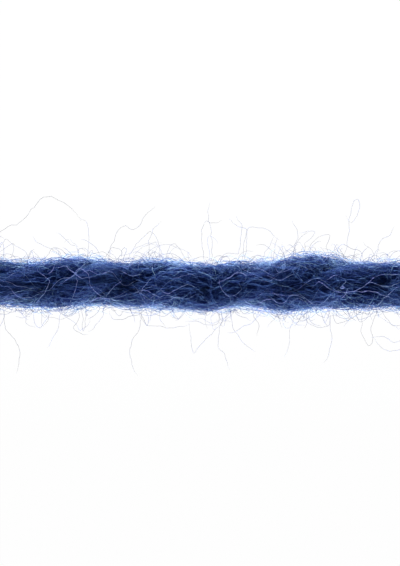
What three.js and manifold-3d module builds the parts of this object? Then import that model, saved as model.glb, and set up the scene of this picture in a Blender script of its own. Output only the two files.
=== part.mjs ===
// A cut length of three-ply woollen knitting yarn, lying straight on a flat surface.
// Millimetres, +Z up. X runs along the yarn, and Y is across it. The origin is on the
// surface, under the middle of the cut length.
//
// Three soft singles are twisted together, rising to the right where they pass over the top
// (Z ply). Where they meet they press each other flat, so each one is a rounded wedge in
// section. Each ply is that section extruded along the yarn, then turned, swelled and lifted
// slice by slice, and cut flat where it rests on the surface.
import * as THREE from "three";
import { mergeVertices } from "three/addons/utils/BufferGeometryUtils.js";
import Module from "manifold-3d";

// Driving dimensions
const CUT_LENGTH = 40;
const YARN_RADIUS = 1.5; // from the yarn's axis to the crown of a ply
const PLY_OFFSET = 0.5; // from the yarn's axis to the middle of a ply
const PLY_GAP = 0.31; // clear space between two plies
const LAY_LENGTH = 15; // usual length of one full turn
const REST_SINK = 0.12; // how much of a crown the surface takes off
const PLY_NAMES = ["ply_a", "ply_b", "ply_c"];

// Fineness of the solids
const SECTION_SIDES = 16;
const SLICES = 50;
const ROUNDING = 6; // higher values give the wedge sharper corners

// Where the groove between two plies lies on top, in order along the yarn. The plies turn by
// a third of a turn from one groove to the next, and not evenly.
const GROOVES = [
  { groove: -3, x: -19.0 },
  { groove: -2, x: -13.9 },
  { groove: -1, x: -9.1 },
  { groove: 0, x: -4.5 },
  { groove: 1, x: 0.5 },
  { groove: 2, x: 6.1 },
  { groove: 3, x: 11.0 },
  { groove: 4, x: 16.1 },
  { groove: 5, x: 21.0 },
];

// The yarn's thickness along its length, as a share of the usual one.
const SWELL = [
  { x: -20.0, share: 0.96 },
  { x: -16.0, share: 1.0 },
  { x: -11.5, share: 0.91 },
  { x: -9.0, share: 1.0 },
  { x: -7.5, share: 0.99 },
  { x: -5.8, share: 0.91 },
  { x: -4.2, share: 0.91 },
  { x: -2.6, share: 1.0 },
  { x: -1.2, share: 0.97 },
  { x: 1.6, share: 0.93 },
  { x: 3.0, share: 0.92 },
  { x: 6.4, share: 1.15 },
  { x: 10.8, share: 0.92 },
  { x: 12.5, share: 0.98 },
  { x: 15.0, share: 1.0 },
  { x: 20.0, share: 0.94 },
];

// How far the yarn's axis strays to either side of straight.
const STRAY = [
  { x: -20.0, y: -0.18 },
  { x: -11.0, y: 0.04 },
  { x: -8.0, y: 0.04 },
  { x: -6.0, y: 0.22 },
  { x: -4.4, y: -0.02 },
  { x: -1.2, y: -0.04 },
  { x: 0.8, y: -0.22 },
  { x: 3.2, y: -0.04 },
  { x: 7.5, y: 0.06 },
  { x: 10.5, y: -0.02 },
  { x: 13.0, y: -0.16 },
  { x: 20.0, y: 0.16 },
];

// Reads a table between its rows, on a smooth curve through them.
function along(table, from, to, value) {
  const last = table.length - 1;
  const slope = (i) => {
    const a = table[Math.max(i - 1, 0)];
    const b = table[Math.min(i + 1, last)];
    return (b[to] - a[to]) / (b[from] - a[from]);
  };
  let i = 0;
  while (i < last - 1 && value > table[i + 1][from]) i += 1;
  const [p, q] = [table[i], table[i + 1]];
  const span = q[from] - p[from];
  const t = THREE.MathUtils.clamp((value - p[from]) / span, 0, 1);
  const ease = t * t * (3 - 2 * t);
  const bend = span * (slope(i) * t * (1 - t) ** 2 - slope(i + 1) * t * t * (1 - t));
  return p[to] + (q[to] - p[to]) * ease + bend;
}

// The angle through which the plies have turned at x, from +Z towards +Y. A groove is on
// top when the plies on its two sides stand a sixth of a turn from the top.
function turnAt(x) {
  const third = (2 * Math.PI) / PLY_NAMES.length;
  return (along(GROOVES, "x", "groove", x) + 0.5) * third;
}

// The section of one ply, with its middle at the origin and its crown towards +Y: a disc,
// taken in smoothly where its two neighbours press on it.
function plySection() {
  const crown = YARN_RADIUS - PLY_OFFSET;
  const halfWedge = Math.PI / PLY_NAMES.length;
  const slant = Math.hypot(1, (2 * Math.PI * YARN_RADIUS) / LAY_LENGTH);
  const toNeighbour = PLY_OFFSET * Math.sin(halfWedge) - (PLY_GAP * slant) / 2;
  const points = [];
  for (let i = 0; i < SECTION_SIDES; i += 1) {
    const angle = ((i + 0.5) / SECTION_SIDES) * 2 * Math.PI;
    let sum = crown ** -ROUNDING;
    for (const side of [-1, 1]) {
      const facing = Math.cos(angle - side * (halfWedge + Math.PI / 2));
      sum += Math.max(facing / toNeighbour, 0) ** ROUNDING;
    }
    const reach = sum ** (-1 / ROUNDING);
    points.push(new THREE.Vector2(-reach * Math.sin(angle), reach * Math.cos(angle)));
  }
  return new THREE.Shape(points);
}

// One ply before it is cut: the section extruded along the yarn, each slice then turned to
// its place round the axis. The axis lies as high as the yarn's crowns allow.
function plyGeometry(number) {
  const geometry = new THREE.ExtrudeGeometry(plySection(), {
    depth: CUT_LENGTH,
    steps: SLICES,
    bevelEnabled: false,
  });
  const position = geometry.attributes.position;
  const start = (number / PLY_NAMES.length) * 2 * Math.PI;
  for (let i = 0; i < position.count; i += 1) {
    const x = position.getZ(i) - CUT_LENGTH / 2;
    const share = along(SWELL, "x", "share", x);
    const turn = turnAt(x) - start;
    const across = position.getX(i) * share;
    const outward = (PLY_OFFSET + position.getY(i)) * share;
    const y = across * Math.cos(turn) + outward * Math.sin(turn);
    const z = outward * Math.cos(turn) - across * Math.sin(turn);
    const axisHeight = YARN_RADIUS * share - REST_SINK;
    position.setXYZ(i, x, y + along(STRAY, "x", "y", x), z + axisHeight);
  }
  return geometry;
}

const wasm = await Module();
wasm.setup();

function toManifold(geometry) {
  geometry.deleteAttribute("normal");
  geometry.deleteAttribute("uv");
  const merged = mergeVertices(geometry);
  return new wasm.Manifold(
    new wasm.Mesh({
      numProp: 3,
      vertProperties: merged.attributes.position.array,
      triVerts: new Uint32Array(merged.index.array),
    }),
  );
}

function toGeometry(manifold) {
  const mesh = manifold.getMesh();
  const geometry = new THREE.BufferGeometry();
  geometry.setAttribute("position", new THREE.BufferAttribute(mesh.vertProperties, mesh.numProp));
  geometry.setIndex(new THREE.BufferAttribute(mesh.triVerts, 1));
  geometry.computeVertexNormals();
  return geometry;
}

// Everything below the surface, as a block whose top is the surface.
function groundBlock() {
  const margin = 2 * YARN_RADIUS;
  const block = new THREE.BoxGeometry(CUT_LENGTH + margin, 4 * margin, margin);
  block.translate(0, 0, -margin / 2);
  return toManifold(block);
}

const ground = groundBlock();
const yarn = new THREE.Group();
PLY_NAMES.forEach((name, number) => {
  const material = new THREE.MeshStandardMaterial({
    color: new THREE.Color(0.028, 0.052, 0.17),
    roughness: 0.95,
    metalness: 0,
  });
  const ply = toManifold(plyGeometry(number)).subtract(ground);
  const mesh = new THREE.Mesh(toGeometry(ply), material);
  mesh.name = name;
  yarn.add(mesh);
});

export default yarn;
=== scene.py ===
# %% [markdown]
# # A length of woollen knitting yarn
#
# The yarn is three soft singles twisted together, lying on a white light table and seen from
# straight above. What makes it look like wool is hair: a few layers of crimped fibres on each
# ply, a short halo, and loose hairs that stray far out. A particle system could grow them, but
# they would bake and export badly, so here every fibre is a thin closed tube of real geometry,
# laid by a few formulas and joined with its kind into one mesh.

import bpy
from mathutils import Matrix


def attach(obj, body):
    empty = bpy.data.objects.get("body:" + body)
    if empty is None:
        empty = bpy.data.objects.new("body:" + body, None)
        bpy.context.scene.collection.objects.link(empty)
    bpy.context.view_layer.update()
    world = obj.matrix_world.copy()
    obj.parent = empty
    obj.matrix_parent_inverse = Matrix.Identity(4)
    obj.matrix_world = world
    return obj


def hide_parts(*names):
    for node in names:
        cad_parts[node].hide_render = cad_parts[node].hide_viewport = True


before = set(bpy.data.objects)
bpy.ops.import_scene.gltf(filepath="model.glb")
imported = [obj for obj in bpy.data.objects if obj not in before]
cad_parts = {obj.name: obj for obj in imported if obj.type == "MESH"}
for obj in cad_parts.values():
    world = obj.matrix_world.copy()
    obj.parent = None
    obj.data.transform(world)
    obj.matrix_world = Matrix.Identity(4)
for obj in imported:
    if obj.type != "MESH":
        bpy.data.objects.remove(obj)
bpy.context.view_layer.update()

import math

import bpy
import numpy as np
from mathutils import Vector

MM = 0.001

# %% [markdown]
# ## Camera
#
# The picture is taken from straight above with a long lens, so that the yarn has almost no
# perspective. It is 25 mm wide, and its top is the +Y side of the yarn. A camera with no
# perspective at all would look much the same from here, but a lens also serves other views.

# %% Make the camera
PICTURE_WIDTH, PICTURE_HEIGHT = 400, 566
PIXELS_PER_MM = 16
AXIS_ROW = 284.5  # the picture's row where the yarn's straight axis lies
CAMERA_HEIGHT = 0.3
EYE_LEVEL = 1.5 * MM  # the height in the yarn that the scale holds for
SENSOR_WIDTH = 36
NEAREST_SEEN = 0.01

view_width = PICTURE_WIDTH / PIXELS_PER_MM * MM
camera_data = bpy.data.cameras.new("camera")
camera_data.sensor_fit = "HORIZONTAL"
camera_data.sensor_width = SENSOR_WIDTH
camera_data.lens = SENSOR_WIDTH * (CAMERA_HEIGHT - EYE_LEVEL) / view_width
camera_data.clip_start = NEAREST_SEEN
camera = bpy.data.objects.new("camera", camera_data)
camera.location = (0, (AXIS_ROW - PICTURE_HEIGHT / 2) / PIXELS_PER_MM * MM, CAMERA_HEIGHT)
bpy.context.scene.collection.objects.link(camera)
bpy.context.scene.camera = camera
print("camera lens", round(camera_data.lens), "mm, view", round(view_width / MM, 1), "mm wide")

# %% [markdown]
# ## The yarn's own sizes
#
# The same few tables that shape the solids say where every fibre lies: where each groove
# between two plies comes to the top, how thick the yarn is, and how far it strays from
# straight. All are in millimetres, and only the finished meshes are put into metres. The
# solids could be measured instead, but a formula also gives the places between their facets.

# %% Sizes and tables of the yarn
CUT_LENGTH = 40.0
YARN_RADIUS = 1.5
PLY_OFFSET = 0.5  # from the yarn's axis to the middle of a ply
REST_SINK = 0.12  # how much of a crown the table takes off
PLY_NAMES = ["ply_a", "ply_b", "ply_c"]
ROUNDING = 6  # higher values give a ply's section sharper corners
THIRD = 2 * math.pi / len(PLY_NAMES)

GROOVES = {
    "x": [-19.0, -13.9, -9.1, -4.5, 0.5, 6.1, 11.0, 16.1, 21.0],
    "groove": [-3, -2, -1, 0, 1, 2, 3, 4, 5],
}
SWELL = {
    "x": [
        -20.0, -16.0, -11.5, -9.0, -7.5, -5.8, -4.2, -2.6,
        -1.2, 1.6, 3.0, 6.4, 10.8, 12.5, 15.0, 20.0,
    ],
    "share": [
        0.96, 1.0, 0.91, 1.0, 0.99, 0.91, 0.91, 1.0,
        0.97, 0.93, 0.92, 1.15, 0.92, 0.98, 1.0, 0.94,
    ],
}
STRAY = {
    "x": [-20.0, -11.0, -8.0, -6.0, -4.4, -1.2, 0.8, 3.2, 7.5, 10.5, 13.0, 20.0],
    "y": [-0.18, 0.04, 0.04, 0.22, -0.02, -0.04, -0.22, -0.04, 0.06, -0.02, -0.16, 0.16],
}


def along(table, column, x):
    """A table's column at x, on a smooth curve through its rows."""
    xs, ys = np.array(table["x"], float), np.array(table[column], float)
    before, after = np.r_[0, np.arange(len(xs) - 1)], np.r_[np.arange(1, len(xs)), len(xs) - 1]
    slopes = (ys[after] - ys[before]) / (xs[after] - xs[before])
    i = np.clip(np.searchsorted(xs, x) - 1, 0, len(xs) - 2)
    span = xs[i + 1] - xs[i]
    t = np.clip((x - xs[i]) / span, 0, 1)
    bend = span * (slopes[i] * t * (1 - t) ** 2 - slopes[i + 1] * t * t * (1 - t))
    return ys[i] + (ys[i + 1] - ys[i]) * t * t * (3 - 2 * t) + bend


thickest = 2 * YARN_RADIUS * max(SWELL["share"])
print("yarn", 2 * YARN_RADIUS, "mm thick, and", round(thickest, 2), "mm at its thickest")


# %% [markdown]
# ## Places on the yarn
#
# Two formulas carry all the hair. The first gives a point on a ply: how far along the yarn, at
# what angle round the ply, and how high above its skin. The second gives a point on the yarn as
# a whole, as if a sleeve were drawn over the plies, for hairs that belong to none of them.

# %% Formulas for a ply's skin and for the whole yarn's
SKIN_GAP = 0.04  # between two plies' skins, which the hair hides
LOWEST = 0.03  # no fibre's middle lies nearer to the table
HULL_DIP = 0.24  # how far the sleeve over the plies sinks between two crowns


def turn_at(x):
    return (along(GROOVES, "groove", x) + 0.5) * THIRD


def section_reach(angle):
    """From a ply's middle to its skin: a disc, pressed flat where its two neighbours lie."""
    total = np.full_like(angle, (YARN_RADIUS - PLY_OFFSET) ** -ROUNDING)
    to_neighbour = PLY_OFFSET * math.sin(THIRD / 2) - SKIN_GAP / 2
    for side in (-1, 1):
        facing = np.cos(angle - side * (THIRD / 2 + math.pi / 2))
        total += (np.maximum(facing, 0) / to_neighbour) ** ROUNDING
    return total ** (-1 / ROUNDING)


def placed(x, across, outward, turn):
    """Points of the yarn in millimetres from their place in a slice, kept on or above the table."""
    share = along(SWELL, "share", x)
    across, outward = across * share, outward * share
    y = across * np.cos(turn) + outward * np.sin(turn) + along(STRAY, "y", x)
    z = outward * np.cos(turn) - across * np.sin(turn) + YARN_RADIUS * share - REST_SINK
    return np.stack([x, y, np.maximum(z, LOWEST)], -1)


def on_ply(ply, x, angle, lift):
    """A point of a ply's skin, at an angle from its crown, lifted away from the yarn's axis."""
    reach = section_reach(angle)
    away = 1 + lift / YARN_RADIUS
    across = away * reach * np.sin(angle)
    outward = away * (PLY_OFFSET + reach * np.cos(angle))
    return placed(x, across, outward, turn_at(x) - ply * THIRD)


def hull_reach(angle, x):
    """From the yarn's axis to a sleeve over the plies: it dips a little into each groove."""
    lobes = np.cos(len(PLY_NAMES) * (angle - turn_at(x)))
    return YARN_RADIUS - HULL_DIP * (1 - lobes) / 2


def on_yarn(x, angle, lift):
    """A point above the sleeve by lift. The angle is from straight up towards +Y."""
    reach = hull_reach(angle, x) + lift
    return placed(x, reach * np.sin(angle), reach * np.cos(angle), np.zeros_like(x))


groove_x = np.array(min(GROOVES["x"], key=abs))
print("sleeve over a groove", round(float(hull_reach(0.0, groove_x)), 2), "mm from the axis")

# %% [markdown]
# ## Shader maths
#
# Materials and the studio's light are small sums on sockets. A class that wraps a socket lets
# them be written as plain Python expressions.

# %% A small class for shader maths
class Wire:
    """A shader socket that Python's operators can work on."""

    def __init__(self, tree, socket):
        self.tree = tree
        self.socket = socket

    def maths(self, operation, a, b):
        return node(self.tree, "ShaderNodeMath", {"operation": operation}, {0: a, 1: b})

    def __add__(self, other):
        return self.maths("ADD", self, other)

    def __sub__(self, other):
        return self.maths("SUBTRACT", self, other)

    def __rsub__(self, other):
        return self.maths("SUBTRACT", other, self)

    def __mul__(self, other):
        return self.maths("MULTIPLY", self, other)


def node(tree, kind, settings, values, output=0):
    """Adds a node, sets it up, and links or sets its inputs. Returns one of its outputs."""
    made = tree.nodes.new(kind)
    for name, setting in settings.items():
        if name == "stops":
            ramp = made.color_ramp.elements
            while len(ramp) < len(setting):
                ramp.new(1)
            for element, (place, colour) in zip(ramp, setting):
                element.position = place
                element.color = (*colour, 1)
        else:
            setattr(made, name, setting)
    for name, value in values.items():
        if isinstance(value, Wire):
            tree.links.new(value.socket, made.inputs[name])
        else:
            made.inputs[name].default_value = value
    return Wire(tree, made.outputs[output])


print("sockets can be added, subtracted and multiplied")

# %% [markdown]
# ## Floor and light
#
# The yarn lies on a plain white light table. It leaves no shadow and shows every stray hair
# against white, and as it shines from below, the yarn's two edges are bright while its middle
# stays deep. A table that bright would be burnt out in the picture, so its two jobs are split:
# to the camera its top is plain white, a little less so on the near side, and all other rays go
# through it to the lower half of the studio, which is its strong lamp. Overhead the studio is
# dim, and a low strip of soft light on the far side gives the hair on top its small lights.

# %% Make the floor
FLOOR_SIZE = 6.0
FLOOR_COLOUR = (0.02, 0.02, 0.02, 1)
FLOOR_GLOW = 1.0
NEAR_GLOW, NEAR_EDGE = 0.982, -9 * MM  # the table shines a little less on the near side


def fading(tree, value, places, results, curve="LINEAR"):
    """Goes from one result to the other while the value goes from one place to the other."""
    values = {
        "Value": value,
        "From Min": places[0],
        "From Max": places[1],
        "To Min": results[0],
        "To Max": results[1],
    }
    return node(tree, "ShaderNodeMapRange", {"interpolation_type": curve}, values)


def make_floor():
    bpy.ops.object.select_all(action="DESELECT")
    bpy.ops.mesh.primitive_plane_add(size=FLOOR_SIZE, location=(0, 0, 0))
    floor = bpy.context.object
    floor.name = "floor"
    material = bpy.data.materials.new("floor_white")
    material.use_nodes = True
    tree = material.node_tree
    shader = tree.nodes["Principled BSDF"]
    shader.inputs["Base Color"].default_value = FLOOR_COLOUR
    shader.inputs["Roughness"].default_value = 1
    shader.inputs["Specular IOR Level"].default_value = 0
    shader.inputs["Emission Strength"].default_value = FLOOR_GLOW
    place = node(tree, "ShaderNodeTexCoord", {}, {}, "Object")
    far = node(tree, "ShaderNodeSeparateXYZ", {}, {"Vector": place}, "Y")
    glow = fading(tree, far, (NEAR_EDGE, 0.0), (NEAR_GLOW, 1.0))
    tree.links.new(glow.socket, shader.inputs["Emission Color"])
    floor.data.materials.append(material)
    floor.visible_diffuse = False
    floor.visible_glossy = False
    floor.visible_shadow = False


make_floor()
print("floor", FLOOR_SIZE, "m wide, seen by the camera alone")

# %% Make the studio round it
TABLE_LIGHT, STUDIO_HORIZON, STUDIO_TOP = 16.0, 1.0, 0.38
TABLE_FADE = (-0.05, 0.0)  # upward parts of a ray's direction between which the table ends
HORIZON_FADE = (0.1, 0.5)  # and between which the white horizon dims to the studio's top


def make_studio():
    """Strong below the table's top, white at the horizon, for views from the side, and dim overhead."""
    world = bpy.data.worlds.new("studio")
    bpy.context.scene.world = world
    world.use_nodes = True
    tree = world.node_tree
    towards = node(tree, "ShaderNodeTexCoord", {}, {}, "Generated")
    height = node(tree, "ShaderNodeSeparateXYZ", {}, {"Vector": towards}, "Z")
    above = fading(tree, height, HORIZON_FADE, (STUDIO_HORIZON, STUDIO_TOP), "SMOOTHSTEP")
    below = fading(tree, height, TABLE_FADE, (TABLE_LIGHT - STUDIO_HORIZON, 0.0))
    strength = above + below
    tree.links.new(strength.socket, tree.nodes["Background"].inputs["Strength"])
    tree.nodes["Background"].inputs["Color"].default_value = (1, 1, 1, 1)


make_studio()
bpy.context.scene.view_settings.view_transform = "Standard"
print("studio light", TABLE_LIGHT, "from the table and", STUDIO_TOP, "from overhead")

# %% Hang the two strips of soft light
LAMP_DISTANCE = 2.0
LAMP_LENGTH, LAMP_HEIGHT = 2.4, 0.34
LAMP_ELEVATION = 5  # degrees above the table
LAMPS = [
    {"name": "strip_far", "side": 1, "watts": 30},
    {"name": "strip_near", "side": -1, "watts": 2},
]


def make_lamp(name, side, watts):
    data = bpy.data.lights.new(name, "AREA")
    data.shape = "RECTANGLE"
    data.size, data.size_y = LAMP_LENGTH, LAMP_HEIGHT
    data.energy = watts
    lamp = bpy.data.objects.new(name, data)
    angle = math.radians(LAMP_ELEVATION)
    lamp.location = Vector((0, side * math.cos(angle), math.sin(angle))) * LAMP_DISTANCE
    lamp.rotation_euler = lamp.location.to_track_quat("Z", "Y").to_euler()
    lamp.visible_camera = False
    lamp.visible_glossy = False
    bpy.context.scene.collection.objects.link(lamp)


for lamp in LAMPS:
    make_lamp(lamp["name"], lamp["side"], lamp["watts"])
print("lamps", [light.name for light in bpy.data.lights])

# %% [markdown]
# ## Finishes
#
# Wool is matt and a little silky, and each fibre takes the dye differently. A fibre is a little
# deeper in tone towards its tip than at its root. A fibre's tone is kept in its UV map, U
# from the darkest fibre to the palest and V from its root to its tip, so one material colours
# thousands of fibres, and the colours bake without a picture per fibre.

# %% The dye's range of tones, and the fibres' finish
# From the deepest fibre to the palest loose one, in linear light.
DYE_STOPS = [
    (0.0, (0.0032, 0.015, 0.066)),
    (0.35, (0.0080, 0.024, 0.135)),
    (0.6, (0.045, 0.104, 0.28)),
    (0.8, (0.18, 0.30, 0.43)),
    (1.0, (0.25, 0.29, 0.74)),
]
UV_NAME = "OFBake"
TIP_SHADE = 0.2  # how much deeper in tone a fibre's tip is than its root
FIBRE_ROUGHNESS, FIBRE_SHEEN = 0.7, 0.04
SHEEN_TINT, SHEEN_ROUGHNESS = (0.3, 0.58, 0.8, 1), 0.4
SHINE = 0.06  # of a fibre's smooth scales, which is faint


def new_material(name, roughness, sheen):
    material = bpy.data.materials.new(name)
    material.use_nodes = True
    shader = material.node_tree.nodes["Principled BSDF"]
    shader.inputs["Roughness"].default_value = roughness
    shader.inputs["Sheen Weight"].default_value = sheen
    shader.inputs["Sheen Roughness"].default_value = SHEEN_ROUGHNESS
    shader.inputs["Sheen Tint"].default_value = SHEEN_TINT
    shader.inputs["Specular IOR Level"].default_value = SHINE
    return material, material.node_tree, shader


def make_fibre_material():
    material, tree, shader = new_material("wool_fibre_dye_and_painted_shade", FIBRE_ROUGHNESS, FIBRE_SHEEN)
    place = node(tree, "ShaderNodeUVMap", {"uv_map": UV_NAME}, {})
    # U is the fibre's tone: dye, and for some pieces painted light and shade as well.
    tone = node(tree, "ShaderNodeSeparateXYZ", {}, {"Vector": place}, "X")
    root_to_tip = node(tree, "ShaderNodeSeparateXYZ", {}, {"Vector": place}, "Y")
    tip_deepened_tone = tone + (0.5 - root_to_tip) * TIP_SHADE
    colour = node(tree, "ShaderNodeValToRGB", {"stops": DYE_STOPS}, {"Fac": tip_deepened_tone})
    tree.links.new(colour.socket, shader.inputs["Base Color"])
    return material


fibre_material = make_fibre_material()
print("fibre tones", [place for place, colour in DYE_STOPS])

# %% The cores' finish
CORE_ROUGHNESS, CORE_SHEEN = 0.9, 0.0
STREAKS_PER_METRE = (500, 7000, 7000)  # long along the yarn and fine across it
STREAK_CONTRAST, STREAK_DEPTH = 0.75, 0.1
BUMP_STRENGTH, BUMP_HEIGHT = 0.8, 0.04 * MM


def make_felt_material():
    """The spun wool under the loose surface: streaks along the yarn, with deep shade between them."""
    material, tree, shader = new_material("spun_wool_core", CORE_ROUGHNESS, CORE_SHEEN)
    place = node(tree, "ShaderNodeTexCoord", {}, {}, "Object")
    stretched = node(tree, "ShaderNodeMapping", {}, {"Vector": place, "Scale": STREAKS_PER_METRE})
    noise = {"Vector": stretched, "Scale": 1.0, "Detail": 4.0, "Roughness": 0.6}
    strands = node(tree, "ShaderNodeTexNoise", {}, noise, "Fac")
    tone = strands * STREAK_CONTRAST - STREAK_DEPTH
    colour = node(tree, "ShaderNodeValToRGB", {"stops": DYE_STOPS}, {"Fac": tone})
    tree.links.new(colour.socket, shader.inputs["Base Color"])
    relief = {"Height": strands, "Strength": BUMP_STRENGTH, "Distance": BUMP_HEIGHT}
    bump = node(tree, "ShaderNodeBump", {}, relief)
    tree.links.new(bump.socket, shader.inputs["Normal"])
    return material


felt_material = make_felt_material()
print("materials", [m.name for m in bpy.data.materials])

# %% [markdown]
# ## The plies' cores
#
# Under the hair each single is a soft round strand. Its core is drawn as by hand: a circle is
# added at the cut end and extruded slice by slice along the yarn, and then each slice is laid
# into the ply's own section and twist. It stays just inside the skin, and hair covers it. A
# curve with a round bevel would be quicker, but it would leave open gaps in the grooves.

# %% Extrude and twist the three cores
CORE_SIDES = 24
CORE_SLICES = 120
CORE_LIFT = -0.32  # of the core's crown from the ply's skin, so it lies below


def make_core(name, ply):
    bpy.ops.object.select_all(action="DESELECT")
    bpy.ops.mesh.primitive_circle_add(
        vertices=CORE_SIDES,
        radius=YARN_RADIUS * MM,
        fill_type="NGON",
        location=(-CUT_LENGTH / 2 * MM, 0, 0),
        rotation=(0, math.pi / 2, 0),
    )
    core = bpy.context.object
    core.name = name
    bpy.ops.object.transform_apply(location=True, rotation=True, scale=True)
    bpy.ops.object.mode_set(mode="EDIT")
    bpy.ops.mesh.select_all(action="SELECT")
    slice_length = CUT_LENGTH / CORE_SLICES * MM
    for _ in range(CORE_SLICES):
        bpy.ops.mesh.extrude_region_move(TRANSFORM_OT_translate={"value": (slice_length, 0, 0)})
    bpy.ops.mesh.select_all(action="SELECT")
    bpy.ops.mesh.normals_make_consistent(inside=False)
    bpy.ops.object.mode_set(mode="OBJECT")
    points = np.empty(len(core.data.vertices) * 3)
    core.data.vertices.foreach_get("co", points)
    points = points.reshape(-1, 3) / MM
    angle = np.arctan2(points[:, 1], points[:, 2])
    points = on_ply(ply, points[:, 0], angle, CORE_LIFT)
    core.data.vertices.foreach_set("co", (points * MM).ravel())
    core.data.update()
    bpy.ops.object.shade_smooth()
    core.data.materials.append(felt_material)
    return core


cores = [make_core(name, ply) for ply, name in enumerate(PLY_NAMES)]
print("core triangles", [sum(len(p.vertices) - 2 for p in c.data.polygons) for c in cores])

# %% [markdown]
# ## From lines to fibres
#
# A wool fibre is 0.02 to 0.04 mm thick. Each one is a three-sided tube with closed, tapered
# ends: with smooth shading that reads as round, and it costs six triangles a step. All the
# fibres of a piece are worked out at once as arrays and joined into one mesh.

# %% Points, faces and tones of many tubes at once
SIDES = 3
END_WIDTH, END_FLARE = 0.35, 4  # a tube's end, as a share of its width, and how fast it widens
TONE_WIDTH, CAP_WIDTH = 0.012, 0.004  # a fibre's and its end's own width on the range of tones
ROOT_TO_TIP = (0.02, 0.98)
UPRIGHT = 0.8  # a fibre that starts steeper than this gets its first direction from Y, not Z
TINY = 1e-12


def frames_along(paths):
    """Two directions across each fibre at each point, carried along so that the tube never twists."""
    tangent = np.gradient(paths, axis=1)
    tangent /= np.linalg.norm(tangent, axis=2, keepdims=True) + TINY
    first = np.zeros_like(tangent)
    aside = np.where(np.abs(tangent[:, 0, 2:3]) < UPRIGHT, (0.0, 0.0, 1.0), (0.0, 1.0, 0.0))
    for i in range(paths.shape[1]):
        aside = aside - (aside * tangent[:, i]).sum(1, keepdims=True) * tangent[:, i]
        aside = aside / (np.linalg.norm(aside, axis=1, keepdims=True) + TINY)
        first[:, i] = aside
    return first, np.cross(tangent, first)


def tube_points(paths, thickness):
    """A ring of points round each point of each path, narrower towards the path's ends."""
    steps = paths.shape[1]
    first, second = frames_along(paths)
    from_end = np.minimum(np.linspace(0, 1, steps), np.linspace(1, 0, steps))
    radius = thickness[:, None] / 2 * np.minimum(1, END_WIDTH + END_FLARE * from_end)
    turn = np.arange(SIDES) / SIDES * 2 * math.pi
    ring = first[:, :, None] * np.cos(turn)[:, None] + second[:, :, None] * np.sin(turn)[:, None]
    return paths[:, :, None] + ring * radius[:, :, None, None]


def tube_faces(count, steps, offset):
    """The faces' corners and sizes: four-cornered ones round the tubes, a triangle on each end."""
    number = np.arange(count * steps * SIDES).reshape(count, steps, SIDES) + offset
    after = np.roll(number, -1, axis=2)
    quads = np.stack([number[:, :-1], after[:, :-1], after[:, 1:], number[:, 1:]], -1)
    caps = np.stack([number[:, 0, ::-1], number[:, -1]], 1)
    corners = np.concatenate([quads.ravel(), caps.ravel()])
    return corners, np.concatenate([np.full(quads.size // 4, 4), np.full(caps.size // 3, 3)])


def tube_tones(count, steps, tone):
    """The same corners on the UV map: U is the fibre's tone, and V goes from root to tip."""
    u = tone[:, None, None] + (np.arange(SIDES + 1) / SIDES - 0.5) * TONE_WIDTH
    u = np.broadcast_to(u, (count, steps, SIDES + 1))
    v = np.broadcast_to(np.linspace(*ROOT_TO_TIP, steps)[None, :, None], u.shape)
    uv = np.stack([u, v], -1)
    quad_uv = np.stack([uv[:, :-1, :-1], uv[:, :-1, 1:], uv[:, 1:, 1:], uv[:, 1:, :-1]], -2)
    cap_uv = uv[:, (0, -1), 0][:, :, None] + np.array([[0, 0], [CAP_WIDTH, 0], [0, CAP_WIDTH]])
    return np.concatenate([quad_uv.reshape(-1, 2), cap_uv.reshape(-1, 2)])


print("a fibre of 8 steps has", int((tube_faces(1, 8, 0)[1] - 2).sum()), "triangles")

# %% Join many fibres into one mesh
TABLE_GAP = 0.002  # no fibre's skin lies nearer to the table


def fibre_mesh(name, bundles):
    """One mesh from bundles of (paths, thickness, tone), each path with the same number of points."""
    all_points, all_corners, all_sizes, all_uv = [], [], [], []
    offset = 0
    for paths, thickness, tone in bundles:
        count, steps = paths.shape[:2]
        corners, sizes = tube_faces(count, steps, offset)
        all_points.append(tube_points(paths, thickness).reshape(-1, 3))
        all_corners.append(corners)
        all_sizes.append(sizes)
        all_uv.append(tube_tones(count, steps, tone))
        offset += count * steps * SIDES
    points, corners = np.concatenate(all_points), np.concatenate(all_corners)
    sizes, uv = np.concatenate(all_sizes), np.concatenate(all_uv)
    points[:, 2] = np.maximum(points[:, 2], TABLE_GAP)
    mesh = bpy.data.meshes.new(name)
    mesh.vertices.add(len(points))
    mesh.vertices.foreach_set("co", (points * MM).astype(np.float32).ravel())
    mesh.loops.add(len(corners))
    mesh.loops.foreach_set("vertex_index", corners.astype(np.int32))
    mesh.polygons.add(len(sizes))
    mesh.polygons.foreach_set("loop_start", (np.cumsum(sizes) - sizes).astype(np.int32))
    mesh.polygons.foreach_set("use_smooth", np.ones(len(sizes), bool))
    mesh.update(calc_edges=True)
    layer = mesh.uv_layers.new(name=UV_NAME)
    layer.data.foreach_set("uv", uv.astype(np.float32).ravel())
    mesh.materials.append(fibre_material)
    mesh.validate()
    piece = bpy.data.objects.new(name, mesh)
    bpy.context.scene.collection.objects.link(piece)
    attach(piece, "root")
    print(name, len(mesh.polygons), "faces,", int((sizes - 2).sum()), "triangles")
    return piece


# %% [markdown]
# ## Crimp and streaks
#
# No fibre is straight and no patch of wool is even. Crimp is a sum of a few waves of random
# length, and streaks are the same idea over the skin: they darken or lighten whole bundles of
# fibres together, which breaks up the evenness that single random tones would give. Each kind
# of hair draws from a seed of its own, so the yarn comes out the same each time, and one kind
# can be changed without moving the rest.

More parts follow.
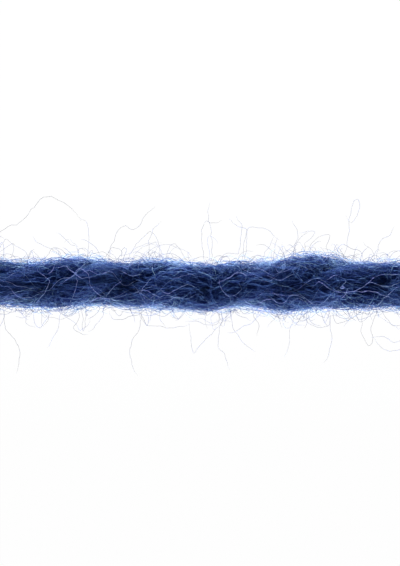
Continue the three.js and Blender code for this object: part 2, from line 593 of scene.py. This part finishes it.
# %% Random waves along a fibre, and random streaks over a skin
HALF = CUT_LENGTH / 2
SEEDS = {
    "spun": 100,
    "cut_ends": 41,
    "web": 7,
    "loose_ends": 21,
    "by_hand": 17,
    "nep": 3,
    "strays": 31,
    "flyaways": 5,
}
FINER = 1.9  # how much shorter each next wave is
WAVE_LENGTHS, WAVE_SIZES = (0.7, 1.4), (0.3, 1.3)  # as shares of the usual one
STREAK_WAVES = 10
MOST_AROUND = 14  # streaks of one tone round the yarn
STREAK_LEAN = 1.1  # radians round the yarn for each millimetre along it
TONE_LIMITS = (0.02, 0.97)


def waves(rng, count, run, length, slope, octaves=2):
    """Smooth random wandering along run, in waves of falling length. Slope is that of steep parts."""
    total = np.zeros((count, run.shape[-1]))
    for octave in range(octaves):
        wave = length / FINER**octave * rng.uniform(*WAVE_LENGTHS, (count, 1))
        phase = rng.uniform(0, 2 * math.pi, (count, 1))
        steepness = slope * wave / (2 * math.pi)
        size = steepness * rng.uniform(*WAVE_SIZES, (count, 1)) / math.sqrt(octaves)
        total += size * np.sin(2 * math.pi * run / wave + phase)
    return total


def streaks(rng, x, angle):
    """Smooth random tones over a skin, mostly between -1.5 and 1.5, long ones along the yarn."""
    total = np.zeros_like(x)
    for _ in range(STREAK_WAVES):
        around = rng.integers(1, MOST_AROUND)
        lean = rng.normal(0, STREAK_LEAN)
        total += np.sin(around * angle + lean * x + rng.uniform(0, 2 * math.pi))
    return total / math.sqrt(STREAK_WAVES / 2)


def scattered(rng, count, usual, scatter, least=0.0, most=1.0):
    """Random numbers round a usual one, kept between two limits."""
    return rng.normal(usual, scatter, count).clip(least, most)


trial_run, trial_slope = np.linspace(0, 8, 400), 0.5
trial = waves(np.random.default_rng(0), 500, trial_run, 2.0, trial_slope)
mean_slope = float(np.abs(np.diff(trial) / np.diff(trial_run)).mean())
print("waves of slope", trial_slope, "have a mean slope of", round(mean_slope, 2))

# %% [markdown]
# ## Spun fibres
#
# In a single the fibres wind the other way from the plies, which is what keeps yarn from
# curling up, and on the crowns the two twists cancel: the fibres there run nearly straight
# along the yarn. Each fibre rises out of one groove, crosses the crown with its crimp and
# dives into the next groove. They lie in a thin layer, and the deeper a fibre lies in it, the
# darker it is painted, as painted shade of the wool's depth, so the ones on top are paler.

# %% Lay the spun fibres on each ply
SPUN_COUNT = 3600
SPUN_STEPS = 8
SPUN_LENGTH = (1.8, 3.4)
SPUN_THICKNESS = (0.025, 0.005, 0.015, 0.04)  # usual, scatter, least and most
SPUN_TURN = -0.70  # radians round the ply for each millimetre along it
SPUN_REACH = 1.3  # radians from a ply's crown to its outermost fibres
SPUN_CRIMP, SPUN_LOFT = (2.2, 0.36), (2.4, 0.05)  # length and slope of the waves, round and off the ply
SPUN_FLOOR = -0.18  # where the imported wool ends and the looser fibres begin
SPUN_RISE, MOST_RISE = 0.12, 0.5  # how far a fibre's middle stands off that floor, usually and at most
FRAY = 0.3  # how far fibres stand out of the cut ends
# The second tone number is painted shade: how much paler a fibre is for each mm it stands off the floor.
SPUN_TONE, PAINTED_DEPTH_SHADE, TONE_STREAK, TONE_SCATTER = 0.28, 0.40, 0.045, 0.03


def spun_fibres(ply):
    rng = np.random.default_rng(SEEDS["spun"] + ply)
    count = SPUN_COUNT
    middle = rng.uniform(-HALF, HALF, (count, 1))
    half_length = rng.uniform(*SPUN_LENGTH, (count, 1)) / 2
    end = HALF + FRAY * rng.random((count, 1))
    first, last = np.maximum(middle - half_length, -end), np.minimum(middle + half_length, end)
    x = first + (last - first) * np.linspace(0, 1, SPUN_STEPS)
    run = x - middle
    root_angle = rng.uniform(-SPUN_REACH, SPUN_REACH, (count, 1))
    angle = root_angle + SPUN_TURN * run + waves(rng, count, run, *SPUN_CRIMP)
    rise = rng.exponential(SPUN_RISE, (count, 1)).clip(0, MOST_RISE)
    arch = 1 - (run / half_length) ** 2
    lift = SPUN_FLOOR + rise * arch + waves(rng, count, run, *SPUN_LOFT)
    bundle = streaks(rng, middle[:, 0], (root_angle - SPUN_TURN * middle)[:, 0])
    # Painted shade: the deeper a fibre lies in the layer, the darker its tone.
    tone = SPUN_TONE + PAINTED_DEPTH_SHADE * rise[:, 0] + TONE_STREAK * bundle + rng.normal(0, TONE_SCATTER, count)
    thickness = scattered(rng, count, *SPUN_THICKNESS)
    return [(on_ply(ply, x, angle, lift), thickness, tone.clip(*TONE_LIMITS))]


spun = [fibre_mesh(name + "_fibres", spun_fibres(ply)) for ply, name in enumerate(PLY_NAMES)]

# %% [markdown]
# ## The cut ends
#
# Where the yarn is cut each single opens into a small tuft: its fibres end at different
# lengths and splay apart. They stand out of the flat end of the core, from places spread
# evenly over the ply's section. Spun fibres that ran on past the end would only make a ring.

# %% Splay a tuft from each cut end
TUFT_COUNT = 200
TUFT_STEPS = 5
TUFT_LENGTH = (0.25, 0.8)
TUFT_THICKNESS, TUFT_TONE = (0.028, 0.004), (0.34, 0.08, 0.05, 0.8)
TUFT_ROOT = 0.1  # how deep in the end a tuft's fibre starts
TUFT_FILL = 0.86  # how much of the ply's section the tuft fills
TUFT_SPLAY = 0.45  # how much wider the tuft is, as a share, for each millimetre out
TUFT_CRIMP = (0.7, 0.5)


def tuft_fibres(rng, ply, end):
    """The fibres of one ply at one end, -1 or 1."""
    angle = rng.uniform(-math.pi, math.pi, (TUFT_COUNT, 1))
    run = np.linspace(0, 1, TUFT_STEPS) * rng.uniform(*TUFT_LENGTH, (TUFT_COUNT, 1))
    spread = TUFT_FILL * np.sqrt(rng.random((TUFT_COUNT, 1))) * (1 + TUFT_SPLAY * run)
    reach = section_reach(angle) * spread + waves(rng, TUFT_COUNT, run, *TUFT_CRIMP)
    x = end * (HALF - TUFT_ROOT + run)
    turn = turn_at(np.full_like(x, end * HALF)) - ply * THIRD
    points = placed(x, reach * np.sin(angle), PLY_OFFSET + reach * np.cos(angle), turn)
    tone = scattered(rng, TUFT_COUNT, *TUFT_TONE)
    return points, scattered(rng, TUFT_COUNT, *TUFT_THICKNESS), tone


tuft_rng = np.random.default_rng(SEEDS["cut_ends"])
ends = [(ply, end) for ply in range(len(PLY_NAMES)) for end in (-1, 1)]
fibre_mesh("cut_ends", [tuft_fibres(tuft_rng, ply, end) for ply, end in ends])

# %% [markdown]
# ## The web over the grooves
#
# Handling has felted the outside a little: fibres lie across the plies on the whole yarn, at
# all sorts of small angles, and bridge the grooves. A spun fibre stays on its own ply, so the
# web is laid on the sleeve over all three.

# %% Lay the web
WEB_COUNT = 1200
WEB_STEPS = 12
WEB_LENGTH = (1.2, 3.6)
WEB_THICKNESS = (0.028, 0.004, 0.018, 0.04)
WEB_SLANT = 0.3  # radians round the yarn for each millimetre along it
WEB_LIFT = (-0.24, 0.02)
WEB_CRIMP, WEB_LOFT = (1.8, 0.55), (2.0, 0.12)
WEB_TONE, WEB_STREAK, WEB_SCATTER = 0.32, 0.06, 0.07


def web_fibres():
    rng = np.random.default_rng(SEEDS["web"])
    count = WEB_COUNT
    middle = rng.uniform(-HALF, HALF, (count, 1))
    run = np.linspace(-0.5, 0.5, WEB_STEPS) * rng.uniform(*WEB_LENGTH, (count, 1))
    x = (middle + run).clip(-HALF - FRAY, HALF + FRAY)
    root_angle = rng.uniform(-math.pi, math.pi, (count, 1))
    slant = rng.normal(0, WEB_SLANT, (count, 1))
    angle = root_angle + slant * run + waves(rng, count, run, *WEB_CRIMP)
    lift = rng.uniform(*WEB_LIFT, (count, 1)) + waves(rng, count, run, *WEB_LOFT)
    bundle = streaks(rng, middle[:, 0], root_angle[:, 0])
    tone = WEB_TONE + WEB_STREAK * bundle + rng.normal(0, WEB_SCATTER, count)
    thickness = scattered(rng, count, *WEB_THICKNESS)
    return [(on_yarn(x, angle, lift), thickness, tone.clip(*TONE_LIMITS))]


fibre_mesh("web", web_fibres())

# %% [markdown]
# ## Fuzz and halo
#
# Short ends stand out all round the yarn. Most are a fine fuzz that hugs it: seen from above it
# hardly shows, but at the two edges the eye looks along it, and there it is painted pale, as
# painted light, so it makes the soft light rims. The rest is the halo, longer ends that stand off
# and curl back. One formula grows both: a fibre leaves the skin, climbs, wanders and falls back,
# as its row of the table says.
#
# The hair is not the same all round. Handling flattens it on top and leaves it at the sides, so
# "sides" gathers the roots there. A row's last number is painted light and shade, what the tone
# gains from the sides to the top. The fuzz is painted pale at the sides, where the table's light
# would shine through it, and deeper on top. The halo is painted dark at the sides, as a thin
# hair looks against a bright table, and paler on top.

# %% Grow the fuzz and the halo
# Lengths, waves and thickness are in millimetres. Rise, fall, spread and curl are angles in
# radians, and bend is one for each millimetre.
# Each row's last number is painted light and shade, from the yarn's sides to its top.
LOOSE_ENDS = [
    {
        "piece": "fuzz", "count": 6000, "steps": 6, "length": (0.6, 1.6), "thick": 0.021,
        "rise": 0.8, "fall": 1.4, "spread": 0.7, "bend": 0.6, "wave": 0.9, "curl": 1.5,
        "sides": 0.25, "tone": 0.76, "painted_shading_on_top": -0.34,
    },
    {
        "piece": "halo", "count": 2100, "steps": 9, "length": (0.7, 1.9), "thick": 0.017,
        "rise": 1.3, "fall": 2.2, "spread": 0.6, "bend": 0.6, "wave": 1.1, "curl": 1.7,
        "sides": 0.2, "tone": 0.16, "painted_shading_on_top": 0.35,
    },
    {
        "piece": "halo", "count": 380, "steps": 18, "length": (1.5, 4.0), "thick": 0.016,
        "rise": 1.1, "fall": 2.0, "spread": 0.8, "bend": 0.5, "wave": 1.5, "curl": 1.6,
        "sides": 0.0, "tone": 0.16, "painted_shading_on_top": 0.35,
    },
]
SKIN_DEPTH = 0.05  # how deep in the skin a loose end is rooted
RISE_SPREAD, FALL_SPREAD = (0.2, 1.5), (0.5, 1.5)  # as shares of the row's
LOOSE_SCATTER = 0.07
THICKNESS_SCATTER, LOOSE_LIMITS = 1 / 6, (0.012, 0.05)


def growing(rng, row):
    """Fibres that leave the yarn's skin, wander and curl back."""
    count = row["count"]
    length = rng.uniform(*row["length"], (count, 1))
    share = np.linspace(0, 1, row["steps"])
    run, step = share * length, length / (row["steps"] - 1)
    root_x = rng.uniform(-HALF, HALF, (count, 1))
    root_angle = rng.uniform(-math.pi, math.pi, (count, 1))
    root_angle = root_angle + row["sides"] * np.sin(2 * root_angle)
    way = np.where(rng.random((count, 1)) < 0.5, -1, 1)
    rise = row["rise"] * rng.uniform(*RISE_SPREAD, (count, 1))
    fall = row["fall"] * rng.uniform(*FALL_SPREAD, (count, 1))
    climb = rise - fall * share + waves(rng, count, run, row["wave"], row["curl"])
    side = rng.normal(0, row["spread"], (count, 1)) + rng.normal(0, row["bend"], (count, 1)) * run
    side = side + waves(rng, count, run, row["wave"], row["curl"])
    forward = way * np.cos(climb) * np.cos(side) * step
    outward = np.sin(climb) * step
    around = np.cos(climb) * np.sin(side) * step / YARN_RADIUS
    x = root_x + np.cumsum(forward, 1) - forward[:, :1]
    lift = np.cumsum(outward, 1) - outward[:, :1] - SKIN_DEPTH
    angle = root_angle + np.cumsum(around, 1) - around[:, :1]
    # Painted light and shade: the tone goes from the row's own at the sides to that plus its last number
    # on top.
    painted_shading_weight = np.cos(root_angle[:, 0]) ** 2
    tone = row["tone"] + row["painted_shading_on_top"] * painted_shading_weight + rng.normal(0, LOOSE_SCATTER, count)
    thickness = scattered(rng, count, row["thick"], row["thick"] * THICKNESS_SCATTER, *LOOSE_LIMITS)
    return on_yarn(x, angle, np.maximum(lift, -2 * SKIN_DEPTH)), thickness, tone.clip(*TONE_LIMITS)


loose_rng = np.random.default_rng(SEEDS["loose_ends"])
grown = {"fuzz": [], "halo": []}
for row in LOOSE_ENDS:
    grown[row["piece"]].append(growing(loose_rng, row))
for name, bundles in grown.items():
    fibre_mesh(name, bundles)

# %% [markdown]
# ## Hairs placed one by one
#
# A few long hairs catch the eye, on the yarn and beside it. Each is a smooth curve through a
# few given points, as seen from above, in millimetres. Its height follows from where it is:
# over the yarn it lies on the hair below, and beside the yarn it rises or sinks. Curve objects
# would do as well, but tubes made like all the others share their mesh and finish.

# %% A smooth line through a few points, and the yarn's height under it
HAIR_STEPS = 36
CRIMP_LENGTH, CRIMP_SLOPE = 1.0, 0.3


def over_yarn(x, y, rise):
    """The yarn's height, seen from above. Past its sides, its axis's height, and rise for each mm."""
    radius = YARN_RADIUS * along(SWELL, "share", x)
    aside = np.abs(y - along(STRAY, "y", x))
    top = np.sqrt(np.maximum(radius**2 - aside**2, 0))
    return radius - REST_SINK + top + rise * np.maximum(aside - radius, 0)


def smooth_line(rng, points, rise, lift):
    """A hair through the points, with a little crimp of its own."""
    x, y = np.array(points).T
    reached = np.r_[0, np.cumsum(np.hypot(np.diff(x), np.diff(y)))]
    table = {"x": reached, "across": x, "up": y}
    run = np.linspace(0, reached[-1], HAIR_STEPS)
    crimp = waves(rng, 3, run, CRIMP_LENGTH, CRIMP_SLOPE)
    x, y = along(table, "across", run) + crimp[0], along(table, "up", run) + crimp[1]
    z = over_yarn(x, y, rise) + lift + crimp[2]
    return np.stack([x, y, np.maximum(z, LOWEST)], -1)


trial_x = np.array(0.0)
print("top of the yarn", round(float(over_yarn(trial_x, trial_x, 0)), 2), "mm above the table")


# %% The long hairs that lie on the yarn
LAID_HAIRS = [
    [
        (-8.9, -0.1), (-8.1, 0.4), (-7.45, 1.0), (-7.0, 0.65),
        (-6.7, -0.25), (-5.85, -0.85), (-4.2, -0.55), (-2.7, 0.0),
    ],
    [(-9.0, 1.05), (-8.3, 1.1), (-7.8, 0.65), (-7.2, 0.4), (-6.5, 0.55), (-5.2, 1.0)],
    [(-13.2, 0.5), (-12.1, 0.2), (-11.3, -0.1), (-10.2, -0.25)],
    [(-13.0, 0.1), (-11.9, -0.2), (-11.4, -0.7), (-10.9, -0.85), (-9.8, -0.55)],
    [(-10.1, 0.85), (-9.35, 0.2), (-9.45, -0.1), (-9.9, -0.8), (-10.2, -1.2)],
    [(-9.4, 0.7), (-9.0, 1.25), (-8.6, 1.45)],
    [(-7.7, 0.5), (-7.65, 0.0), (-7.95, -0.8), (-8.05, -1.1)],
    [(-7.0, -1.15), (-6.3, -0.85), (-5.6, -0.95), (-4.95, -1.0)],
    [(-4.9, 0.25), (-5.7, -0.5), (-5.9, -0.75)],
    [(-5.1, 0.9), (-4.4, 0.6), (-3.6, 0.6)],
    [(-3.7, -0.65), (-3.55, -0.2), (-3.05, 0.35)],
    [(-3.55, -0.4), (-2.9, -0.55), (-2.5, -0.8)],
    [(-3.6, -0.6), (-3.25, -0.95), (-2.85, -0.7), (-2.3, -0.9)],
    [(-2.5, -0.3), (-2.0, -0.55), (-0.8, 0.0), (-0.2, -0.2)],
    [(-1.8, 0.3), (-0.85, 0.6), (-0.1, 0.5)],
    [(1.0, 0.1), (1.7, 0.35), (2.4, 0.75), (2.9, 0.5), (2.6, 0.05)],
    [(1.25, 0.3), (1.3, -0.25), (1.9, -0.75), (2.5, -0.4), (2.5, 0.1)],
    [(4.4, 1.35), (4.95, 0.75), (6.2, 1.15), (6.95, 0.9)],
    [(4.1, 0.55), (5.05, 0.3), (5.9, 0.7)],
    [(3.6, -1.2), (4.4, -0.9), (5.05, -1.2), (5.7, -0.7), (6.4, -0.8), (7.1, -1.3)],
    [
        (6.95, -0.25), (7.4, 0.2), (7.9, -0.2), (8.9, -0.5),
        (10.0, -0.25), (10.6, 0.15), (11.5, -0.15), (13.2, 0.4),
    ],
    [(8.8, -0.9), (9.15, -0.35), (9.4, -0.2)],
    [(10.3, 0.0), (10.9, 0.45), (11.9, 0.65), (13.2, 0.5)],
    [(7.9, 0.35), (8.6, 0.55), (9.05, 0.2), (8.8, -0.1)],
    [(12.4, -0.1), (11.8, -0.55), (11.3, -1.0)],
    [(9.6, -0.45), (10.8, -0.45), (12.2, -0.95), (12.9, -0.9)],
]
LAID_THICKNESS, LAID_TONE = 0.021, 0.95
LAID_LIFT = 0.04

hair_rng = np.random.default_rng(SEEDS["by_hand"])
laid_paths = np.array([smooth_line(hair_rng, points, 0, LAID_LIFT) for points in LAID_HAIRS])
print(len(LAID_HAIRS), "hairs laid on the yarn by hand")

# %% [markdown]
# ## A nep
#
# Now and then a few fibres roll themselves into a tiny ball. One lies on top of the yarn, paler
# than the wool round it. It is made of rings of fibre, turned every way on a small egg, which
# catch the light as the hair round them does. A bumpy ball would look like a crumb.

# %% Roll the nep
NEP_PLACE = (8.85, -0.19)
NEP_RADII = (0.14, 0.08, 0.06)
NEP_RINGS = 14
NEP_THICKNESS = 0.022
RING_ARC, RING_SIZES = 1.9 * math.pi, (0.75, 1.05)


def nep_fibres():
    rng = np.random.default_rng(SEEDS["nep"])
    turn = np.linspace(0, RING_ARC, HAIR_STEPS)[None, :, None]
    first = rng.normal(0, 1, (NEP_RINGS, 1, 3))
    second = np.cross(first, rng.normal(0, 1, (NEP_RINGS, 1, 3)))
    first, second = [v / np.linalg.norm(v, axis=2, keepdims=True) for v in (first, second)]
    rings = (first * np.cos(turn) + second * np.sin(turn)) * rng.uniform(*RING_SIZES, (NEP_RINGS, 1, 1))
    x, y = NEP_PLACE
    height = float(over_yarn(np.array(x), np.array(y), 0)) + NEP_RADII[2] / 2
    thickness = np.full(NEP_RINGS, NEP_THICKNESS)
    return rings * NEP_RADII + (x, y, height), thickness, np.full(NEP_RINGS, LAID_TONE)


nep = nep_fibres()
print("nep", 2 * NEP_RADII[0], "mm long, of", NEP_RINGS, "rings")

# %% [markdown]
# ## Strays and flyaways
#
# Beside the hairs placed one by one, others lie on the yarn or stand off it all along and all
# round. They are long and gently crimped, so they get more steps and longer waves. The table
# gives each placed one's line, and how much it rises or sinks for each millimetre out.

# %% Lay the strays on the yarn
STRAY_COUNT = 60
STRAY_STEPS = 24
STRAY_LENGTH = (1.5, 5.5)
STRAY_THICKNESS, STRAY_TONE = (0.018, 0.003), (0.9, 0.05, 0.5, 0.97)
STRAY_PAST_END = 0.8
STRAY_SLANT = 0.3
STRAY_LIFT = (0, 0.06)
STRAY_CRIMP, STRAY_LOFT = (3.6, 0.8), (3.0, 0.12)


def stray_fibres():
    rng = np.random.default_rng(SEEDS["strays"])
    count = STRAY_COUNT
    middle = rng.uniform(-HALF, HALF, (count, 1))
    run = np.linspace(-0.5, 0.5, STRAY_STEPS) * rng.uniform(*STRAY_LENGTH, (count, 1))
    x = (middle + run).clip(-HALF - STRAY_PAST_END, HALF + STRAY_PAST_END)
    angle = rng.uniform(-math.pi, math.pi, (count, 1)) + rng.normal(0, STRAY_SLANT, (count, 1)) * run
    angle = angle + waves(rng, count, run, *STRAY_CRIMP)
    lift = rng.uniform(*STRAY_LIFT, (count, 1)) + waves(rng, count, run, *STRAY_LOFT)
    tone = scattered(rng, count, *STRAY_TONE)
    return on_yarn(x, angle, lift), scattered(rng, count, *STRAY_THICKNESS), tone


laid = (laid_paths, np.full(len(laid_paths), LAID_THICKNESS), np.full(len(laid_paths), LAID_TONE))
fibre_mesh("strays", [stray_fibres(), laid, nep])

# %% The long hairs that stand off the yarn in the picture
FLYAWAY_HAIRS = [
    {"rise": 0.2, "line": [
        (-14.6, 1.3), (-12.2, 3.5), (-11.2, 3.9), (-10.4, 4.8), (-9.6, 5.5), (-8.2, 4.9), (-7.4, 4.0),
    ]},
    {"rise": 0.2, "line": [(-7.5, 4.15), (-7.1, 3.9), (-6.95, 3.2), (-7.05, 1.2)]},
    {"rise": 0.1, "line": [
        (-5.9, 1.2), (-5.3, 3.0), (-4.7, 3.7), (-4.1, 3.4), (-3.4, 4.3), (-2.8, 4.9),
    ]},
    {"rise": 0.3, "line": [(-4.7, 1.3), (-3.9, 2.6), (-3.1, 3.25), (-2.6, 2.7), (-2.5, 1.3)]},
    {"rise": 0.3, "line": [(-2.4, 4.0), (-2.95, 3.35), (-3.2, 2.6), (-3.1, 1.2)]},
    {"rise": 0.1, "line": [(-6.1, 1.3), (-5.5, 2.3), (-5.0, 2.2), (-4.9, 1.9), (-5.5, 1.4)]},
    {"rise": 0.0, "line": [(-2.2, 1.2), (-1.9, 2.4), (-1.5, 2.5), (-0.8, 1.4)]},
    {"rise": 0.4, "line": [(-12.8, 1.5), (-12.2, 2.8), (-11.7, 2.5), (-11.8, 1.4)]},
    {"rise": 0.2, "line": [(-12.6, 2.0), (-11.8, 2.5), (-11.1, 2.2), (-10.6, 1.3)]},
    {"rise": 0.3, "line": [(-10.5, 3.0), (-9.8, 2.4), (-9.2, 2.2), (-8.4, 1.4)]},
    {"rise": 0.1, "line": [
        (-9.8, 1.4), (-9.15, 2.3), (-8.3, 1.95), (-7.2, 1.8), (-6.0, 2.0), (-5.2, 1.4),
    ]},
    {"rise": 0.3, "line": [(0.7, 1.1), (0.75, 2.5), (0.65, 3.6), (0.5, 4.3), (0.6, 5.1)]},
    {"rise": 0.4, "line": [(0.3, 1.2), (0.1, 3.2), (0.4, 4.0), (0.7, 3.8), (1.4, 4.0)]},
    {"rise": 0.0, "line": [(1.75, 4.1), (2.4, 3.65), (2.9, 3.4), (2.9, 2.4), (2.7, 1.1)]},
    {"rise": 0.2, "line": [(2.25, 4.3), (2.6, 3.6), (2.5, 2.6), (2.4, 1.95), (1.5, 1.9), (1.0, 1.2)]},
    {"rise": 0.2, "line": [(2.6, 1.2), (2.95, 3.4), (3.5, 3.55), (4.0, 3.55), (4.6, 3.05), (5.0, 2.8)]},
    {"rise": 0.1, "line": [(4.6, 3.0), (4.4, 2.5), (3.9, 1.7), (3.7, 1.0)]},
    {"rise": 0.4, "line": [(5.7, 4.0), (6.1, 3.25), (5.9, 2.3), (5.8, 1.5)]},
    {"rise": 0.3, "line": [(6.2, 3.2), (6.8, 3.35), (7.2, 3.2), (6.6, 2.6), (6.5, 1.5)]},
    {"rise": 0.1, "line": [(6.6, 1.6), (6.95, 2.55), (7.4, 2.95), (8.1, 3.05), (7.9, 2.3), (8.2, 1.4)]},
    {"rise": 0.5, "line": [
        (9.1, 4.3), (9.4, 3.9), (9.9, 4.5), (9.8, 5.3), (9.4, 4.7), (9.2, 2.6), (8.9, 1.5),
    ]},
    {"rise": 0.2, "line": [(12.1, 3.65), (11.9, 3.1), (11.4, 2.85), (11.1, 2.2), (11.1, 1.1)]},
    {"rise": -0.2, "line": [(-12.3, -1.1), (-12.35, -2.3), (-12.8, -3.2)]},
    {"rise": -0.2, "line": [(-12.2, -1.2), (-12.2, -2.7), (-11.5, -3.6), (-11.3, -4.4), (-11.5, -5.6)]},
    {"rise": -0.1, "line": [(-10.9, -1.2), (-10.85, -2.4), (-10.3, -2.7)]},
    {"rise": -0.3, "line": [(-9.3, -1.2), (-9.5, -2.1), (-9.8, -2.6)]},
    {"rise": -0.1, "line": [(-7.6, -1.2), (-7.6, -2.1), (-7.9, -2.8), (-7.5, -3.05), (-7.0, -3.1)]},
    {"rise": -0.3, "line": [(-7.15, -1.2), (-7.2, -2.6), (-7.35, -2.9), (-7.35, -1.9), (-7.5, -1.1)]},
    {"rise": -0.2, "line": [(-6.0, -1.3), (-6.2, -2.2), (-6.6, -2.65), (-7.0, -2.9)]},
    {"rise": -0.2, "line": [(-3.7, -1.2), (-3.75, -2.6), (-4.35, -3.8), (-4.3, -4.9), (-3.95, -5.7)]},
    {"rise": -0.1, "line": [
        (2.7, -1.2), (1.8, -1.85), (1.0, -2.8), (0.0, -3.8), (-0.4, -4.3), (-0.6, -3.2), (-0.7, -2.4),
    ]},
    {"rise": -0.1, "line": [(-0.65, -2.5), (-1.5, -2.7), (-2.4, -2.65), (-3.5, -2.4), (-3.9, -1.3)]},
    {"rise": -0.3, "line": [(-0.9, -2.3), (-0.3, -2.3), (0.6, -2.55), (1.1, -2.4), (1.3, -1.3)]},
    {"rise": 0.0, "line": [(1.4, -1.3), (1.3, -2.6), (1.1, -3.6), (1.4, -4.2), (1.9, -5.3)]},
    {"rise": -0.2, "line": [(3.2, -1.2), (3.4, -2.0), (3.65, -2.5), (3.6, -3.2)]},
    {"rise": -0.2, "line": [(4.7, -1.2), (4.9, -2.1), (5.15, -2.65)]},
    {"rise": -0.3, "line": [
        (6.0, -1.3), (6.6, -2.2), (7.4, -2.7), (8.1, -2.5), (8.0, -2.0), (7.6, -1.4),
    ]},
    {"rise": 0.1, "line": [(8.0, -1.3), (8.2, -3.0), (8.1, -4.2), (7.7, -4.9)]},
    {"rise": -0.1, "line": [(8.3, -1.4), (8.5, -2.4), (9.5, -2.1), (10.4, -1.3)]},
    {"rise": -0.1, "line": [
        (10.3, -1.2), (10.1, -2.8), (10.5, -3.8), (10.85, -3.6), (10.7, -2.9), (11.2, -1.2),
    ]},
    {"rise": -0.2, "line": [(10.7, -3.3), (11.4, -3.25), (12.2, -3.6), (13.2, -3.0), (13.9, -1.3)]},
    {"rise": 0.0, "line": [(10.8, -3.35), (11.3, -3.85), (11.9, -4.2), (12.8, -3.8), (14.3, -1.4)]},
    {"rise": 0.0, "line": [(11.2, -1.3), (12.0, -2.5), (12.8, -2.4), (13.4, -1.3)]},
]

# %% Make the flyaways
PLACED_THICKNESS, PLACED_TONE = 0.016, 0.2
PLACED_LIFT = -0.05
# As for the loose ends, the last number is painted light and shade: a flyaway rooted on top is painted
# paler than one at the sides.
FLYAWAYS = {
    "count": 46, "steps": 30, "length": (1.5, 5.0), "thick": 0.015,
    "rise": 1.2, "fall": 1.4, "spread": 0.9, "bend": 0.25, "wave": 2.0, "curl": 1.5,
    "sides": 0.0, "tone": 0.2, "painted_shading_on_top": 0.3,
}

placed_lines = [smooth_line(hair_rng, row["line"], row["rise"], PLACED_LIFT) for row in FLYAWAY_HAIRS]
count = len(placed_lines)
placed_hairs = (np.array(placed_lines), np.full(count, PLACED_THICKNESS), np.full(count, PLACED_TONE))
grown_hairs = growing(np.random.default_rng(SEEDS["flyaways"]), FLYAWAYS)
fibre_mesh("flyaways", [grown_hairs, placed_hairs])
print(count, "flyaways placed by hand and", FLYAWAYS["count"], "at random")

# %% [markdown]
# ## The cores in place of the plies' solids
#
# Each ply is a free length of soft cord, bare at both ends, and follows its own helix, whose line
# is worked out here but not used. Its core stands for the ply's solid, which is hidden, and hangs
# from the same root as its spun fibres.

LINE_POINTS = 90

for ply, core in enumerate(cores):
    x = np.linspace(-HALF, HALF, LINE_POINTS)
    turn = turn_at(x) - ply * THIRD
    line = placed(x, np.zeros_like(x), np.full_like(x, PLY_OFFSET), turn) * MM
    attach(core, "root")
    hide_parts(PLY_NAMES[ply])
    core.name = PLY_NAMES[ply] + "_core"
